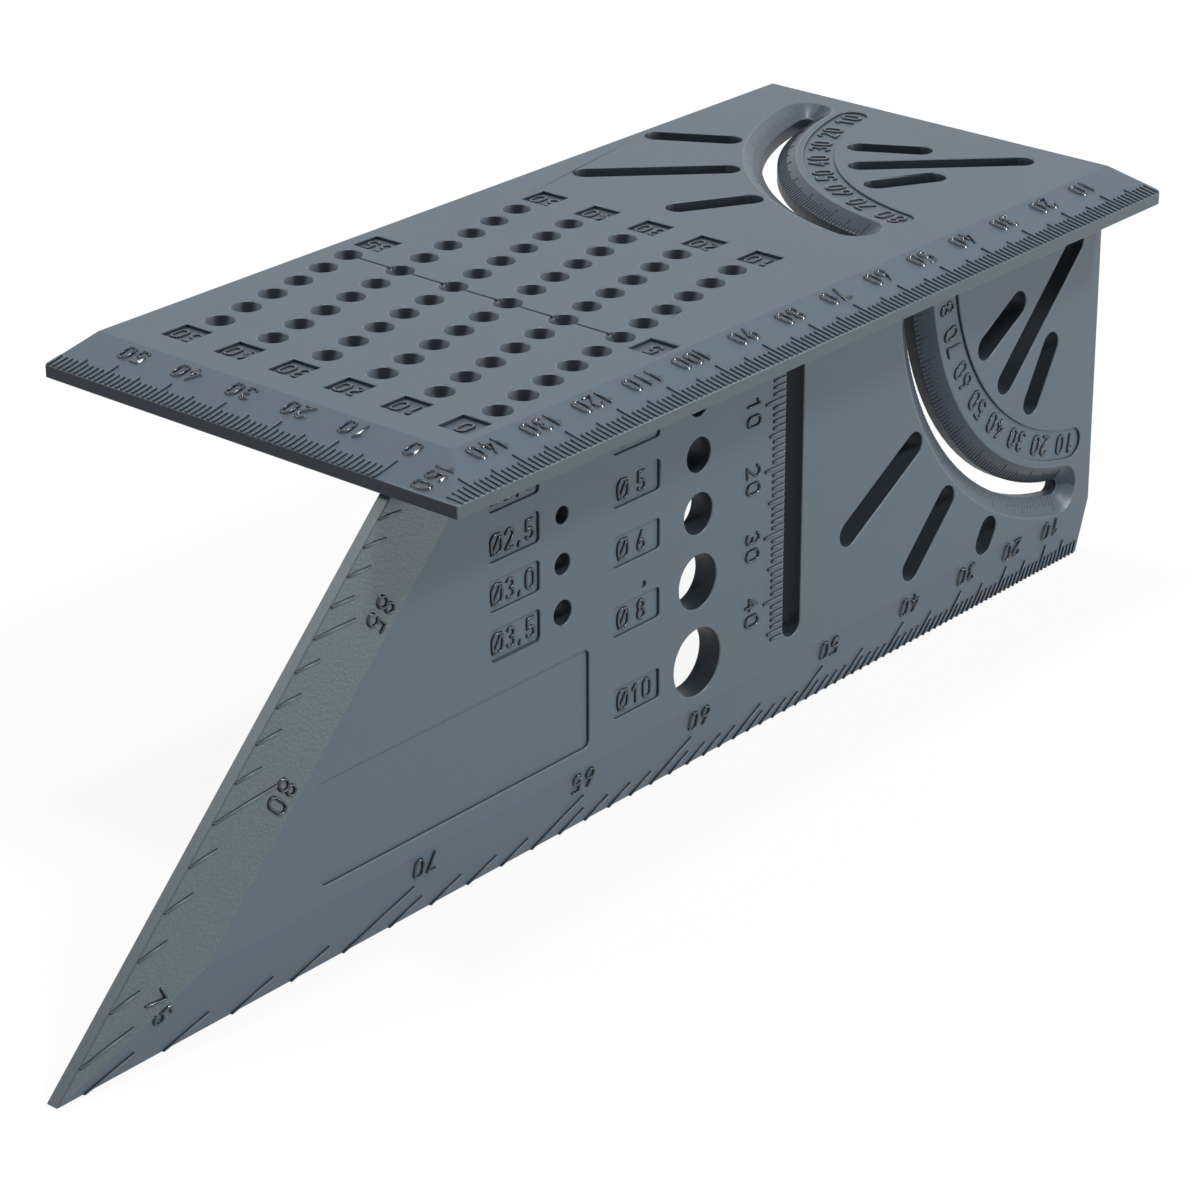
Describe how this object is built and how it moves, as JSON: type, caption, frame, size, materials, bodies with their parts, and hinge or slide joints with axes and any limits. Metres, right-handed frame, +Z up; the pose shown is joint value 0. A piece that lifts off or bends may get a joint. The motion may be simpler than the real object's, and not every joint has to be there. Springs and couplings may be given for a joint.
{
  "type": "marking ruler",
  "caption": "Rigid L-shaped marking ruler with pencil holes, protractor slots, millimetre scales, an angle scale and a drill gauge.",
  "frame": {"origin": "inner corner of the L at its right end, the zero of every scale", "axes": "+X along the ruler towards its right end, with the body on the negative side; +Y back over the workpiece; +Z up, zero on the underside of the top leaf"},
  "size_m": [0.2135, 0.0735, 0.064],
  "materials": {
    "top_leaf": "moulded anthracite plastic with a fine grain",
    "front_lip": "moulded anthracite plastic with a fine grain",
    "side_leaf": "moulded anthracite plastic with a fine grain",
    "long_scale_ticks": "the same moulded plastic, raised marks with smooth tops",
    "long_scale_numerals": "the same moulded plastic, raised marks with smooth tops",
    "end_scale_ticks": "the same moulded plastic, raised marks with smooth tops",
    "end_scale_numerals": "the same moulded plastic, raised marks with smooth tops",
    "row_label_numerals": "the same moulded plastic, raised marks with smooth tops",
    "top_protractor_ticks": "the same moulded plastic, raised marks with smooth tops",
    "top_protractor_numerals": "the same moulded plastic, raised marks with smooth tops",
    "side_protractor_ticks": "the same moulded plastic, raised marks with smooth tops",
    "side_protractor_numerals": "the same moulded plastic, raised marks with smooth tops",
    "depth_scale_ticks": "the same moulded plastic, raised marks with smooth tops",
    "depth_scale_numerals": "the same moulded plastic, raised marks with smooth tops",
    "large_gauge_labels": "the same moulded plastic, raised marks with smooth tops",
    "small_gauge_labels": "the same moulded plastic, raised marks with smooth tops",
    "angle_scale_ticks": "the same moulded plastic, raised marks with smooth tops",
    "angle_scale_numerals": "the same moulded plastic, raised marks with smooth tops",
    "slant_scale_ticks": "the same moulded plastic, raised marks with smooth tops",
    "slant_scale_numerals": "the same moulded plastic, raised marks with smooth tops"
  },
  "bodies": {
    "root": {"top_leaf": "top_leaf", "front_lip": "front_lip", "side_leaf": "side_leaf", "long_scale_ticks": "long_scale_ticks", "long_scale_numerals": "long_scale_numerals", "end_scale_ticks": "end_scale_ticks", "end_scale_numerals": "end_scale_numerals", "row_label_numerals": "row_label_numerals", "top_protractor_ticks": "top_protractor_ticks", "top_protractor_numerals": "top_protractor_numerals", "side_protractor_ticks": "side_protractor_ticks", "side_protractor_numerals": "side_protractor_numerals", "depth_scale_ticks": "depth_scale_ticks", "depth_scale_numerals": "depth_scale_numerals", "large_gauge_labels": "large_gauge_labels", "small_gauge_labels": "small_gauge_labels", "angle_scale_ticks": "angle_scale_ticks", "angle_scale_numerals": "angle_scale_numerals", "slant_scale_ticks": "slant_scale_ticks", "slant_scale_numerals": "slant_scale_numerals"}
  },
  "joints": []
}
